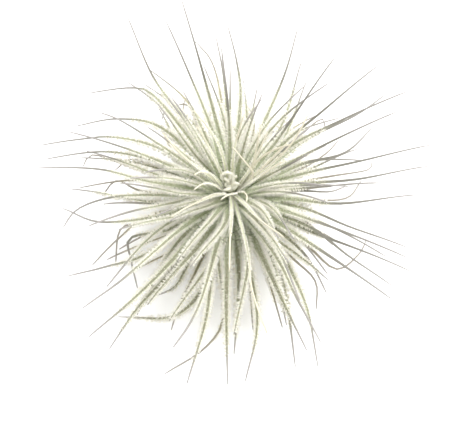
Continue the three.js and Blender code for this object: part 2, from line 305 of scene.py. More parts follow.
# What differs from leaf to leaf. A leaf shorter than the first number is narrower, down to the second's share
FULL_WIDTH_FROM = 42
NARROWEST = 0.5
FILLER_SLIMMER = 0.3
FILLER_HAIRIER = 0.14
WIDTH_VARIES = (0.88, 1.1)
BALD_VARIES = 0.04
ROLL_VARIES = 0.7

# Leaves on the left of the photograph stay hairy further out than those on the right
LONGER_HAIRY_ON_THE_LEFT = 0.07

# How squarely a leaf has to point to the viewer, or away, before that changes its form and its painted
# shade, and how much more squarely before it does in full. The width has numbers of its own
FACING = (0.5, 0.4)
BROAD = (0.3, 0.5)

# Each blade has its own strip of the flat layout, with a margin on both sides. The seam runs below the blade
STRIP_START = 0.1
STRIP_WIDTH = 0.72
SEAM_TURN = 90.5

# Hairs, and the tufts that they stand in
HAIR_WIDTH = 0.3
HAIR_SINK = 0.12
POINTS_PER_HAIR = 4
HAIRS_PER_PIECE = 45000
TUFT_SPACING = 1.15
TUFT_SPREAD = 0.16
TUFT_JITTER = 0.2

# A leaf's four rows of hairs, along its two edges, on top and below: their shares of the hairs, and how long
# those on top and below are, compared with those of the edges. Then, in radians round the section, how far
# the hairs of an edge spread, and how far from the edges the other two rows keep
ROW_SHARES = [0.35, 0.35, 0.14, 0.16]
TOP = 2
BELOW = 3
TOP_LENGTH = 0.6
BELOW_LENGTH = 0.8
EDGE_SPREAD = 0.3
EDGE_MARGIN = 0.35

# Where the hairs start, as a share of the hairy part, where they start to get fewer and shorter, over which
# share of it, and how much fewer and shorter they get. Those on top are also fewer near the leaf's base: up
# to where, over which share of the leaf, and how much fewer at most
HAIRS_FROM = 0.06
LATE = (0.8, 0.2)
LATE_FEWER = 0.6
LATE_SHORTER = 0.35
EARLY_UNTIL = 0.5
EARLY_FADE = 0.4
EARLY_FEWER = 0.85

# How hairs stand: how much they lean to the tip, how much they rise, and how much their direction varies
# along, across and up. Then how their lengths vary, the part of the leaf that they keep to, and the share of
# it over which greenish ones get fewer
HAIR_LEAN = 0.38
HAIR_RISE = 0.9
HAIR_VARIES = (0.2, 0.15, 0.3)
HAIR_LENGTHS = (0.6, 1.15)
HAIR_REACH = (0.02, 0.98)
GREEN_HAIRS_FADE = 0.25

# How fine the noise in the finishes is, in patches to a metre
SPECKLES = 1500
DRIFTS = 140
FUZZ_GRAIN = 1900
FELT_GRAIN = 4200
BARK_FIBRES = 2600
BARK_PATCHES = 320
NOISE_ROUGHNESS = 0.6

# Where a leaf's finish changes, from and to a share of the way to its tip: its deep green inner part ends,
# scales cover the channel, the painted shade of near leaves comes in, fuzz thins out, and the thread dries.
# The skin ends from a little before the start of the bald tip to just after it
INNER_ENDS = (0.1, 0.5)
CHANNEL_CLOSES = (0.4, 1)
PAINTED_SHADE_STARTS = (0.25, 0.6)
FUZZ_THINS = (0.15, 0.55)
THREAD_DRIES = (0.6, 1)
SKIN_ENDS = (-0.12, 0.06)

# Between which shares of half the width the bare channel ends, and how much wider it is near the base. Then
# the least and the most fuzz
CHANNEL_EDGE = (0.35, 0.8)
CHANNEL_WIDER = 0.3
FUZZ_AMOUNTS = (0.08, 0.5)

# The photograph is 450 by 437 pixels, and the plant's middle lies right of and above the picture's centre
PICTURE = (450, 437)
AIM_PIXEL = (231, 190)
AIM_HEIGHT = 22
CAMERA_ELEVATION = 65
CAMERA_DISTANCE = 480
FOCAL_PIXELS = 1104
SENSOR_WIDTH = 36
CLIP_START = 0.01
CLIP_END = 20

# A white studio. Each light has its power in watts, and its size and its place in metres
WORLD_STRENGTH = 1.48
DIFFUSE_BOUNCES = 8
FLOOR_SIZE = 6
FLOOR_SHADE = 0.93
LIGHTS = {"key": (14, 0.8, (0.35, 0.7, 1.05)), "fill": (3, 1.0, (1.0, 0.0, 0.7))}
LIGHTS_AIM = (0, 0, 0.03)


# Where the leaves lie

def repeatable_random(seed):
    """Repeatable random numbers from 0 to 1, the same ones as in the part's source."""
    state = (seed * 7919 + 12345) % 2**32
    while True:
        state = (1664525 * state + 1013904223) % 2**32
        yield state / 2**32


def smooth_plan(stations, steps):
    """Points evenly spaced along the smooth curve through the stations."""
    ends = np.vstack([2 * stations[0] - stations[1], stations, 2 * stations[-1] - stations[-2]])

    def at(t):
        place = t * (len(stations) - 1)
        start = np.minimum(place.astype(int), len(stations) - 2)
        part = (place - start)[:, None]
        before, here, there, after = (ends[start + k] for k in range(4))
        leave, arrive = (there - before) / 2, (after - here) / 2
        square = 3 * (there - here) - 2 * leave - arrive
        cube = 2 * (here - there) + leave + arrive
        return here + leave * part + square * part**2 + cube * part**3

    fine = np.linspace(0, 1, PLAN_SAMPLES + 1)
    lengths = running_length(at(fine))
    return at(np.interp(np.linspace(0, lengths[-1], steps + 1), lengths, fine))


def running_length(points):
    return np.concatenate([[0], np.cumsum(np.linalg.norm(np.diff(points, axis=0), axis=1))])


def leaf_line(age, tip_height, passes, steps):
    """A leaf's middle line from root to tip, in millimetres."""
    root_radius, root_height = AGES[age]["root"]
    stations = [(passes[0][0], root_radius), *passes]
    plan = smooth_plan(np.array([
        (distance * math.cos(math.radians(azimuth)), distance * math.sin(math.radians(azimuth)))
        for azimuth, distance in stations
    ]), steps)
    share = np.linspace(0, 1, steps + 1)
    height = root_height + (tip_height - root_height) * share + 4 * AGES[age]["arch"] * share * (1 - share)
    return np.column_stack([plan, height])


def least_gap(line, others):
    """The least distance from a leaf to the others outside the crowded middle."""
    outer = line[np.hypot(line[:, 0], line[:, 1]) >= CROWDED_WITHIN]
    return min(np.linalg.norm(outer[:, None] - other[None], axis=2).min() for other in others)


def all_leaves():
    """Every leaf: the ones seen in the photograph, then fillers, each the roomiest of its draws."""
    leaves, samples = [], []

    def add(age, tip, passes):
        leaves.append({"age": age, "tip": tip, "passes": passes})
        samples.append(leaf_line(age, tip, passes, CLEARANCE_SAMPLES))

    for age, rows in SEEN_LEAVES.items():
        for tip, *passes in rows:
            add(age, tip, passes)
    for age_index, (age, kind) in enumerate(AGES.items()):
        for i in range(kind["fillers"]):
            draw_from = repeatable_random(SEEDS_PER_AGE * (age_index + 1) + i)
            best = None
            for _ in range(DRAWS):
                azimuth = i * GOLDEN_ANGLE + age_index * AGE_TURN + (next(draw_from) - 0.5) * 2 * DRAW_TURN
                reach = between(kind["reach"], next(draw_from))
                tip = between(kind["tip"], next(draw_from))
                bend = (next(draw_from) - 0.5) * 2 * kind["bend"]
                passes = [(azimuth, reach * BEND_AT), (azimuth + bend, reach)]
                gap = least_gap(leaf_line(age, tip, passes, CLEARANCE_SAMPLES), samples)
                if best is None or gap > best[0]:
                    best = (gap, tip, passes)
            add(age, best[1], best[2])
    return leaves


def between(limits, share):
    low, high = limits
    return low + (high - low) * share


def ramp(value, start, length):
    """0 up to the start, and 1 from one length further on."""
    return np.clip((value - start) / length, 0, 1)


def with_sheath(line):
    """The line with its sheath's rise up the stem in front, which runs smoothly into the leaf."""
    root = line[0]
    onward = (line[1] - line[0]) / np.linalg.norm(line[1] - line[0])
    outward = np.array([root[0], root[1], 0]) / np.hypot(root[0], root[1])
    foot = root - outward * SHEATH_INSET - np.array([0, 0, SHEATH_DROP])
    turn = root - onward * SHEATH_DROP / 2
    t = np.linspace(0, 1, SHEATH_POINTS + 1)[:-1, None]
    rise = foot * (1 - t)**2 + turn * 2 * t * (1 - t) + root * t**2
    return np.vstack([rise, line])


# Making and placing meshes

def select_only(piece):
    bpy.ops.object.select_all(action="DESELECT")
    piece.select_set(True)
    bpy.context.view_layer.objects.active = piece


def join_as(name, pieces):
    """The pieces as one, with a plain name."""
    select_only(pieces[0])
    for piece in pieces[1:]:
        piece.select_set(True)
    bpy.ops.object.join()
    joined = bpy.context.view_layer.objects.active
    joined.name = joined.data.name = name
    return joined


def midrib(points, rolls, twist="Z_UP"):
    """The curve that a straight leaf is bent along. It keeps the leaf level across, but for its rolls."""
    data = bpy.data.curves.new("midrib", "CURVE")
    data.dimensions = "3D"
    data.twist_mode = twist
    spline = data.splines.new("POLY")
    spline.points.add(len(points) - 1)
    spline.points.foreach_set("co", np.column_stack([points * MM, np.ones(len(points))]).ravel())
    spline.points.foreach_set("tilt", np.broadcast_to(rolls, len(points)).astype(np.float32))
    line = bpy.data.objects.new("midrib", data)
    bpy.context.scene.collection.objects.link(line)
    return line


def bend_along(piece, line):
    """Bends a straight piece, drawn along +X, onto the line."""
    select_only(piece)
    bend = piece.modifiers.new("bend", "CURVE")
    bend.object = line
    bend.deform_axis = "POS_X"
    bpy.ops.object.modifier_apply(modifier=bend.name)


def new_object(name, data):
    made = bpy.data.objects.new(name, data)
    bpy.context.scene.collection.objects.link(made)
    return made


# The blade's section, in millimetres, at a share of the way from the sheath's foot to the tip

def section_at(share, shape):
    """Half the width, the depth of the underside and the depth of the channel."""
    point = np.clip((1 - share) / THREAD_POINT, THREAD_BLUNT, 1)
    thread_width = THREAD_WIDTH * (1 - THREAD_TAPER * share) * point
    left = (1 - share**shape["fullness"])**BLADE_TAPER
    blade = thread_width + (shape["width"] - thread_width) * left
    flare = np.clip(1 - share / SHEATH_SHARE, 0, 1)
    half = (blade + (shape["sheath"] - blade) * flare**SHEATH_TAPER) / 2
    thread = ramp(share, THREAD_FROM, THREAD_FADE)
    under, channel = (
        half * (depth + in_sheath * flare + in_thread * thread)
        for depth, in_sheath, in_thread in (UNDERSIDE, CHANNEL))
    return half, under, channel


def on_section(angle, share, shape):
    """A point across and above the middle line, at an angle round the section. Its edges are at 0 and 180."""
    half, under, channel = section_at(share, shape)
    rise = np.sin(angle)
    above = np.where(rise > 0, -channel * rise, under * rise)
    return half * np.cos(angle), above


def drawn_out(name, sides, shares):
    """A closed tube along +X, drawn out ring by ring, and each point's share of the length and its angle."""
    bpy.ops.object.select_all(action="DESELECT")
    bpy.ops.mesh.primitive_circle_add(
        vertices=sides, radius=1, fill_type="NGON", rotation=(0, math.pi / 2, 0))
    tube = bpy.context.object
    bpy.ops.object.transform_apply(location=False, rotation=True, scale=False)
    bpy.ops.object.mode_set(mode="EDIT")
    for step in np.diff(shares):
        bpy.ops.mesh.extrude_region_move(TRANSFORM_OT_translate={"value": (step, 0, 0)})
    bpy.ops.object.mode_set(mode="OBJECT")
    tube.name = tube.data.name = name
    place = points_of(tube.data)
    return tube, np.clip(place[:, 0], 0, 1), np.arctan2(place[:, 2], place[:, 1])


def points_of(mesh):
    place = np.zeros(len(mesh.vertices) * 3)
    mesh.vertices.foreach_get("co", place)
    return place.reshape(-1, 3)


class Blade:
    """A straight leaf of unit length along +X, which every leaf is a shaped copy of."""

    def __init__(self):
        rings = np.linspace(0, 1, BLADE_RINGS + 1)**BLADE_RINGS_POWER
        self.object, self.share, self.angle = drawn_out("blade", BLADE_SIDES, rings)
        mesh = self.object.data
        store(mesh, "along", self.share)
        store(mesh, "across", np.cos(self.angle))
        store(mesh, "above", np.sin(self.angle))
        unwrap_blade(mesh, self.share, self.angle)
        mesh.shade_smooth()

    def copy(self, shape, strip, strips):
        """A copy with its own length and section, and its own strip of the layout."""
        leaf = new_object("leaf", self.object.data.copy())
        across, above = on_section(self.angle, self.share, shape)
        leaf.data.vertices.foreach_set(
            "co", np.column_stack([self.share * shape["length"], across, above]).ravel() * MM)
        layout = leaf.data.uv_layers["OFBake"].data
        places = np.zeros(len(layout) * 2)
        layout.foreach_get("uv", places)
        places = places.reshape(-1, 2)
        places[:, 0] = (strip + STRIP_START + STRIP_WIDTH * places[:, 0]) / strips
        layout.foreach_set("uv", places.ravel())
        for name in ("tone", "bald", "near"):
            store(leaf.data, name, shape[name])
        return leaf


def store(mesh, name, values):
    """A number for each point, which the finish reads."""
    attribute = mesh.attributes.new(name, "FLOAT", "POINT")
    attribute.data.foreach_set("value", np.broadcast_to(values, len(mesh.vertices)).astype(np.float32))


def unwrap_blade(mesh, share, angle):
    """A flat layout of one blade: round the section from 0 to 1, and along it from 0 to 1. The last faces
    before the seam keep their corners together."""
    corners = np.zeros(len(mesh.loops), int)
    mesh.loops.foreach_get("vertex_index", corners)
    round_section = (np.degrees(angle[corners]) + SEAM_TURN) % 360 / 360
    for face in mesh.polygons:
        own = slice(face.loop_start, face.loop_start + face.loop_total)
        if face.loop_total == 4 and np.ptp(round_section[own]) > 0.5:
            round_section[own] += round_section[own] < 0.5
    layout = mesh.uv_layers.new(name="OFBake")
    layout.data.foreach_set("uv", np.column_stack([round_section, share[corners]]).ravel())


# Hairs

def hair_mesh(roots, directions, lengths, width, finish=0):
    """One closed, flattened, three-sided hair for each root, its foot sunk into the leaf. The finish is a
    number in the piece's list of finishes, one for all hairs or one for each."""
    count = len(roots)
    directions = directions / np.linalg.norm(directions, axis=1)[:, None]
    upright = np.abs(directions[:, [2]]) >= 0.8
    helper = np.where(upright, [[0.0, 1.0, 0.0]], [[0.0, 0.0, 1.0]])
    side = np.cross(directions, helper)
    side /= np.linalg.norm(side, axis=1)[:, None]
    other = np.cross(directions, side)
    foot = roots - directions * HAIR_SINK
    points = np.zeros((count, POINTS_PER_HAIR, 3))
    points[:, 0] = foot + side * width / 2
    points[:, 1] = foot + other * width / 3
    points[:, 2] = foot - side * width / 2
    points[:, 3] = roots + directions * lengths[:, None]
    faces = np.array([[0, 1, 3], [1, 2, 3], [2, 0, 3], [2, 1, 0]])
    corners = (np.arange(count)[:, None, None] * POINTS_PER_HAIR + faces).ravel()
    mesh = bpy.data.meshes.new("hairs")
    mesh.vertices.add(count * POINTS_PER_HAIR)
    mesh.vertices.foreach_set("co", (points * MM).astype(np.float32).ravel())
    mesh.loops.add(len(corners))
    mesh.loops.foreach_set("vertex_index", corners.astype(np.int32))
    mesh.polygons.add(count * len(faces))
    mesh.polygons.foreach_set("loop_start", np.arange(0, len(corners), 3, dtype=np.int32))
    finishes = np.repeat(np.broadcast_to(finish, count), len(faces))
    mesh.polygons.foreach_set("material_index", finishes.astype(np.int32))
    mesh.update(calc_edges=True)
    mesh.shade_smooth()
    return mesh


def in_tufts(along, row, random):
    """Moves hairs to a tuft of their own row. The tufts stand at nearly even distances."""
    number = np.floor(along / TUFT_SPACING).astype(int)
    rows, tufts = len(ROW_SHARES), number.max() + 1
    places = np.arange(tufts) + random.uniform(0, 1, (rows, 1)) + random.normal(0, TUFT_JITTER, (rows, tufts))
    return (places[row, number] + random.normal(0, TUFT_SPREAD, len(along))) * TUFT_SPACING


def blade_hairs(age, shape, random):
    """The hairs of one straight leaf, in tufts: thick along both edges, thinner below, and shorter on top."""
    kind = AGES[age]
    length, bald = shape["length"], shape["bald"]
    count = int(length * bald * kind["hairs_per_mm"])
    share = bald * random.uniform(HAIRS_FROM, 1, count)
    row = random.choice(len(ROW_SHARES), count, p=ROW_SHARES)
    late = ramp(share / bald, *LATE)
    early = np.where(row == TOP, ramp(EARLY_UNTIL - share, 0, EARLY_FADE), 0)
    kept = random.uniform(0, 1, count) > np.maximum(late * LATE_FEWER, early * EARLY_FEWER)
    share, row, late = share[kept], row[kept], late[kept]
    count = len(share)
    angle = np.choose(row, [
        random.normal(0, EDGE_SPREAD, count),
        math.pi + random.normal(0, EDGE_SPREAD, count),
        random.uniform(EDGE_MARGIN, math.pi - EDGE_MARGIN, count),
        -random.uniform(EDGE_MARGIN, math.pi - EDGE_MARGIN, count),
    ])
    share = np.clip(in_tufts(share * length, row, random) / length, *HAIR_REACH)
    across, above = on_section(angle, share, shape)
    roots = np.column_stack([share * length, across, above])
    vary_along, vary_across, vary_up = HAIR_VARIES
    directions = np.column_stack([
        random.normal(HAIR_LEAN, vary_along, count),
        np.cos(angle) + random.normal(0, vary_across, count),
        np.where(row == TOP, 1, np.sin(angle)) * HAIR_RISE + random.normal(0, vary_up, count),
    ])
    lengths = kind["hair"] * random.uniform(*HAIR_LENGTHS, count) * (1 - LATE_SHORTER * late)
    lengths *= np.where(row == TOP, TOP_LENGTH, np.where(row == BELOW, BELOW_LENGTH, 1))
    green = random.uniform(0, 1, count) < ramp(kind["green_hairs"] - share, 0, GREEN_HAIRS_FADE)
    hairs = new_object("hairs", hair_mesh(roots, directions, lengths, HAIR_WIDTH, green))
    for finish in (HAIR, GREEN_HAIR):
        hairs.data.materials.append(finish)
    return hairs


# Finishes

class Finish:
    """A material under construction, and the one way that nodes are added to it."""

    def __init__(self, name):
        self.material = bpy.data.materials.new(name)
        self.material.use_nodes = True
        self.tree = self.material.node_tree
        self.shader = self.tree.nodes["Principled BSDF"]

    def node(self, kind, settings=None, inputs=None, output=0):
        """Adds a node of a kind, with its settings and then its inputs, and gives back one of its outputs."""
        made = self.tree.nodes.new(kind)
        for key, value in (settings or {}).items():
            setattr(made, key, value)
        for key, value in (inputs or {}).items():
            self.feed(made.inputs[key], value)
        return Tone(self, made.outputs[output])

    def feed(self, socket, value):
        if isinstance(value, Tone):
            self.tree.links.new(value.socket, socket)
        else:
            socket.default_value = value

    def set(self, **values):
        """Sets or links inputs of the shader, such as base_color or roughness."""
        for key, value in values.items():
            self.feed(self.shader.inputs[key.replace("_", " ").title()], value)

    def attribute(self, name):
        return self.node("ShaderNodeAttribute", {"attribute_name": name}, output="Fac")

    def mix(self, share, first, second):
        """A blend of two colours."""
        return self.node(
            "ShaderNodeMix", {"data_type": "RGBA"},
            {"Factor": share, 6: first, 7: second}, output=2)

    def band(self, value, low, high):
        """0 up to the low end of a value, 1 from its high end, and smooth between them."""
        return self.node(
            "ShaderNodeMapRange", {"interpolation_type": "SMOOTHSTEP"},
            {"Value": value, "From Min": low, "From Max": high})

    def noise(self, per_metre, detail=3.0, stretch=(1, 1, 1)):
        """Patches from 0 to 1, so many to a metre. A stretch below 1 draws them out."""
        place = self.node("ShaderNodeTexCoord", output="Object")
        vector = self.node("ShaderNodeMapping", None, {"Vector": place, "Scale": stretch})
        return self.node(
            "ShaderNodeTexNoise", None,
            {"Vector": vector, "Scale": per_metre, "Detail": detail, "Roughness": NOISE_ROUGHNESS})

    def bump(self, height, strength, distance):
        return self.node(
            "ShaderNodeBump", None, {"Height": height, "Strength": strength, "Distance": distance})


class Tone:
    """A value in a material. Arithmetic on it adds Math nodes."""

    def __init__(self, finish, socket):
        self.finish = finish
        self.socket = socket

    def _math(self, operation, first, second):
        return self.finish.node("ShaderNodeMath", {"operation": operation}, {0: first, 1: second})

    def __add__(self, other):
        return self._math("ADD", self, other)

    def __radd__(self, other):
        return self._math("ADD", other, self)

    def __sub__(self, other):
        return self._math("SUBTRACT", self, other)

    def __rsub__(self, other):
        return self._math("SUBTRACT", other, self)

    def __mul__(self, other):
        return self._math("MULTIPLY", self, other)

    def __rmul__(self, other):
        return self._math("MULTIPLY", other, self)

    def absolute(self):
        return self._math("ABSOLUTE", self, 0.0)


def colour(red, green, blue):
    """A colour given on screen, from 0 to 255, as the shader's own linear numbers."""
    def linear(value):
        value /= 255
        return value / 12.92 if value <= 0.04045 else ((value + 0.055) / 1.055)**2.4
    return (linear(red), linear(green), linear(blue), 1)


# Colours that several ages share. The shaded green is painted shade, a darker green on the outer parts of
# leaves that point to the viewer
DEEP_GREEN = colour(150, 162, 121)
GREEN = colour(136, 138, 112)
PAINTED_SHADE_GREEN = colour(112, 111, 88)
FUZZ = colour(244, 243, 230)
THREAD = colour(112, 110, 100)
DRY_TIP = colour(152, 148, 144)
PALE_TIP = colour(198, 192, 172)


def leaf_finish(name, deep_green, green, silver, thread, dry_tip):
    """Green where scales leave it bare, silver-grey where they cover it, and a dull grey thread of a tip. The
    leaves that point to the viewer have painted shade: bare for longer, and a darker green further out."""
    finish = Finish(name)
    along = finish.attribute("along")
    across = finish.attribute("across").absolute()
    above = finish.attribute("above")
    tone = finish.attribute("tone") - 0.5
    bald = finish.attribute("bald")
    near = finish.attribute("near")
    speckle = finish.noise(SPECKLES)
    drift = finish.noise(DRIFTS) - 0.5

    # The channel is bare, wide near the base and closing outwards, and the rest is in specks and patches
    inner = 1 - finish.band(along, *INNER_ENDS)
    channel = finish.band(above, 0, 0.45) * (1 - finish.band(across - inner * CHANNEL_WIDER, *CHANNEL_EDGE))
    # Painted shade: leaves that point to the viewer keep a bare, darker channel further out
    closing_with_painted_shade = finish.band(along, *CHANNEL_CLOSES) * (0.5 - 0.5 * near)
    bare = channel * (1 - closing_with_painted_shade) * 0.98 + inner * 0.34 + drift * 0.4 + tone * 0.3 + (speckle - 0.5) * 1.4
    # Painted shade: the outer parts of leaves that point to the viewer turn a darker green
    outer = finish.mix(near * finish.band(along, *PAINTED_SHADE_STARTS) * 0.75, green, PAINTED_SHADE_GREEN)
    skin = finish.mix(finish.band(bare, 0, 0.74), silver, finish.mix(inner, outer, deep_green))

    # Fuzz lies over both, thick near the base
    fuzz = finish.band(finish.noise(FUZZ_GRAIN), 0.44, 0.64)
    amount = between(FUZZ_AMOUNTS, 1 - finish.band(along, *FUZZ_THINS))
    skin = finish.mix(fuzz * amount, skin, FUZZ)

    # The bald tip
    tip = finish.band(along - bald + drift * 0.08, *SKIN_ENDS)
    dry_thread = finish.mix(finish.band(along, *THREAD_DRIES), thread, dry_tip)
    finish.set(
        base_color=finish.mix(tip, skin, dry_thread),
        roughness=0.75,
        normal=finish.bump(speckle, strength=0.35, distance=0.0002),
    )
    return finish.material


def felt_finish():
    """Cream-white, with painted shade: a little darker in fine specks, as between the hairs."""
    finish = Finish("felt")
    speckle = finish.noise(FELT_GRAIN)
    shade = finish.mix(finish.band(speckle, 0.35, 0.65), colour(226, 226, 208), colour(252, 251, 243))
    finish.set(
        base_color=shade, roughness=0.85, normal=finish.bump(speckle, strength=0.5, distance=0.0002))
    return finish.material


def bark_finish(name, dark, pale, green=None):
    """Dry fibres that run up the stem, dark in the cracks. The green is for the part that leaves cover."""
    finish = Finish(name)
    fibres = finish.noise(BARK_FIBRES, detail=4.0, stretch=(1, 1, 0.12))
    patches = finish.noise(BARK_PATCHES)
    shade = finish.band(fibres * 0.7 + patches * 0.3, 0.36, 0.66)
    bark = finish.mix(shade, dark, pale)
    if green:
        bark = finish.mix(finish.attribute("covered"), bark, green)
    finish.set(base_color=bark, roughness=0.9, normal=finish.bump(fibres, strength=0.6, distance=0.0003))
    return finish.material


def hair_finish(name, shade):
    finish = Finish(name)
    finish.set(base_color=shade, roughness=0.7)
    finish.shader.inputs["Specular IOR Level"].default_value = 0.3
    return finish.material


FINISHES = {
    "old": leaf_finish(
        "old_leaf", DEEP_GREEN, green=colour(138, 134, 104), silver=colour(190, 182, 160),
        thread=colour(136, 130, 117), dry_tip=colour(146, 141, 134)),
    "lower": leaf_finish(
        "lower_leaf", DEEP_GREEN, GREEN, silver=colour(200, 202, 179), thread=THREAD, dry_tip=DRY_TIP),
    "upper": leaf_finish(
        "upper_leaf", DEEP_GREEN, GREEN, silver=colour(214, 216, 194), thread=THREAD, dry_tip=DRY_TIP),
    "young": leaf_finish(
        "young_leaf", deep_green=colour(196, 202, 168), green=colour(211, 212, 185),
        silver=colour(222, 221, 198), thread=PALE_TIP, dry_tip=PALE_TIP),
}
HAIR = hair_finish("silver_hair", colour(252, 249, 238))
GREEN_HAIR = hair_finish("green_hair", colour(240, 246, 219))


# The leaves

def leaf_shape(age, number, line, random):
    """A leaf's own size, fullness, bald tip and tone, and how squarely it points to the viewer. Leaves that
    do are the fullest. The fillers behind the leaves that show are more slender, and hairy for longer."""
    kind = AGES[age]
    filler = number >= len(SEEN_LEAVES[age])
    middle = line[len(line) // 2]
    x, y, _ = middle / np.linalg.norm(middle[:2])
    near = ramp(-y, *FACING)
    away = ramp(y, *FACING)
    broad = ramp(abs(y), *BROAD)
    length = running_length(line)[-1]
    narrower = np.clip(length / FULL_WIDTH_FROM, NARROWEST, 1)
    width = between(kind["width"], broad) * narrower * random.uniform(*WIDTH_VARIES)
    hairy = between(kind["bald"], near) - LONGER_HAIRY_ON_THE_LEFT * x + FILLER_HAIRIER * filler
    return {
        "length": length,
        "sheath": kind["sheath"],
        "width": width,
        "fullness": between(kind["fullness"], near) - FILLER_SLIMMER * filler,
        "bald": hairy + kind["hairier_back"] * away + random.uniform(-BALD_VARIES, BALD_VARIES),
        "tone": random.uniform(0, 1),
        "near": near,
    }


def make_leaves(age, leaves):
    """All leaves of one age as fine blades, and their hairs."""
    kind = AGES[age]
    master = Blade()
    master.object.data.materials.append(FINISHES[age])
    blades, fringes = [], []
    for number, leaf in enumerate(leaves):
        random = np.random.default_rng([list(AGES).index(age), number])
        line = with_sheath(leaf_line(age, leaf["tip"], leaf["passes"], LINE_STEPS))
        shape = leaf_shape(age, number, line, random)
        roll = math.radians(kind["roll"]) * random.normal(0, ROLL_VARIES)
        path = midrib(line, roll * np.linspace(0, 1, len(line)))
        blade = master.copy(shape, number, len(leaves))
        bend_along(blade, path)
        blades.append(blade)
        hairs = blade_hairs(age, shape, random)
        bend_along(hairs, path)
        fringes.append(hairs)
        bpy.data.objects.remove(path)
    bpy.data.objects.remove(master.object)
    finish_piece(join_as(f"{age}_blades", blades), f"{age}_leaves")
    for number, group in enumerate(in_groups(fringes), 1):
        finish_piece(join_as(f"{age}_hairs_{number}", group), f"{age}_leaves")


def in_groups(fringes):
    """The leaves' hairs in groups, none of them with more hairs than one piece may hold."""
    groups, held = [[]], 0
    for fringe in fringes:
        count = len(fringe.data.vertices) // POINTS_PER_HAIR
        if held + count > HAIRS_PER_PIECE:
            groups.append([])
            held = 0
        groups[-1].append(fringe)
        held += count
    return groups


def finish_piece(piece, node):
    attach(piece, "root")
    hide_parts(node)


# The heart

def heart_line(leaf):
    """A heart leaf's middle line: straight along its lean, then round its hook."""
    root = math.radians(leaf["root"])
    lean = math.radians(leaf["lean"])
    faces = math.radians(leaf["faces"])
    start = np.array([
        HEART_ROOT_RADIUS * math.cos(root), HEART_ROOT_RADIUS * math.sin(root), HEART_ROOT_HEIGHT])
    up = np.array([0, math.sin(lean), math.cos(lean)])
    facing = np.array([math.cos(faces), math.sin(faces), 0])
    side = facing - up * facing.dot(up)
    side /= np.linalg.norm(side)
    shoulder = start + up * leaf["rise"]
    straight = np.linspace(start, shoulder, HEART_HOOK_STEPS // 2, endpoint=False)
    angle = np.radians(leaf["turn"]) * np.linspace(0, 1, HEART_HOOK_STEPS + 1)[:, None]
    hook = shoulder + leaf["hook"] * (side * (1 - np.cos(angle)) + up * np.sin(angle))
    return np.vstack([straight, hook])


def rolled_radius(share):
    """A rolled leaf is widest at its foot and blunt at its tip."""
    body = HEART_LEAF_WIDTH / 2 * (1 - HEART_LEAF_TAPER * share)
    flare = HEART_FLARE * np.clip(1 - share / HEART_FLARE_SHARE, 0, 1)**2
    blunt = np.sqrt(np.clip((1 - share) / HEART_TIP_SHARE, HEART_TIP_LEAST, 1))
    return (body + flare) * blunt


def rolled_hairs(line_length, random):
    """The felt of one straight rolled leaf."""
    count = int(line_length * HEART_HAIRS_PER_MM)
    share = random.uniform(HEART_HAIRS_FROM, 1, count)
    angle = random.uniform(0, 2 * math.pi, count)
    radius = rolled_radius(share)
    roots = np.column_stack([share * line_length, radius * np.cos(angle), radius * np.sin(angle)])
    lean = random.normal(HEART_HAIR_LEAN, HEART_HAIR_LEAN_VARIES, count)
    directions = np.column_stack([lean, np.cos(angle), np.sin(angle)])
    lengths = HEART_HAIR * random.uniform(*HEART_HAIR_LENGTHS, count)
    return new_object("hairs", hair_mesh(roots, directions, lengths, HEART_HAIR_WIDTH))


def make_heart():
    """The newest leaves, still rolled up, which stand in the middle and hook over."""
    master, share, angle = drawn_out("rolled_leaf", HEART_SIDES, np.linspace(0, 1, HEART_RINGS + 1))
    radius = rolled_radius(share) * MM
    master.data.vertices.foreach_set(
        "co", np.column_stack([share, radius * np.cos(angle), radius * np.sin(angle)]).ravel())
    master.data.shade_smooth()
    master.data.materials.append(felt_finish())
    rods, felts = [], []
    for number, leaf in enumerate(HEART_LEAVES):
        random = np.random.default_rng([len(AGES), number])
        line = heart_line(leaf)
        length = running_length(line)[-1]
        path = midrib(line, 0, "MINIMUM")
        rod = new_object("rod", master.data.copy())
        rod.data.transform(Matrix.Diagonal((length * MM, 1, 1, 1)))
        felt = rolled_hairs(length, random)
        felt.data.materials.append(HAIR)
        for piece in (rod, felt):
            bend_along(piece, path)
        rods.append(rod)
        felts.append(felt)
        bpy.data.objects.remove(path)
    bpy.data.objects.remove(master)
    finish_piece(join_as("heart_rolls", rods), "heart_leaves")
    finish_piece(join_as("heart_felt", felts), "heart_leaves")


# The stem

def stem_radius(height):
    heights, radii = zip(*STEM_PROFILE)
    return np.interp(height, heights, radii)


def make_stem():
    """A short woody stub with a flat foot, ridged by its fibres and by the scars of old leaves."""
    top = STEM_PROFILE[-1][0]
    stem, share, angle = drawn_out("stub", STEM_SIDES, np.linspace(0, 1, STEM_RINGS + 1))
    height = share * top
    fibres = sum(
        size * np.sin(count * angle + twist * height + start) for size, count, twist, start in STEM_RIDGES)
    wave = SCAR_WAVE * np.sin(SCAR_WAVES * angle)
    scars = SCAR_SIZE * np.sin(2 * math.pi * height / SCAR_SPACING + wave)
    radius = stem_radius(height) * (1 - STEM_INSET + fibres + scars * np.clip(height, 0, 1))
    stem.data.vertices.foreach_set("co", np.column_stack([
        radius * np.cos(angle) * MM, radius * np.sin(angle) * MM, height * MM]).ravel())
    stem.data.shade_smooth()
    store(stem.data, "covered", ramp(height, COVERED_FROM, COVERED_FADE))
    stem.data.materials.append(bark_finish(
        "bark", dark=colour(78, 60, 44), pale=colour(146, 122, 92), green=colour(214, 216, 190)))
    finish_piece(stem, "stem")


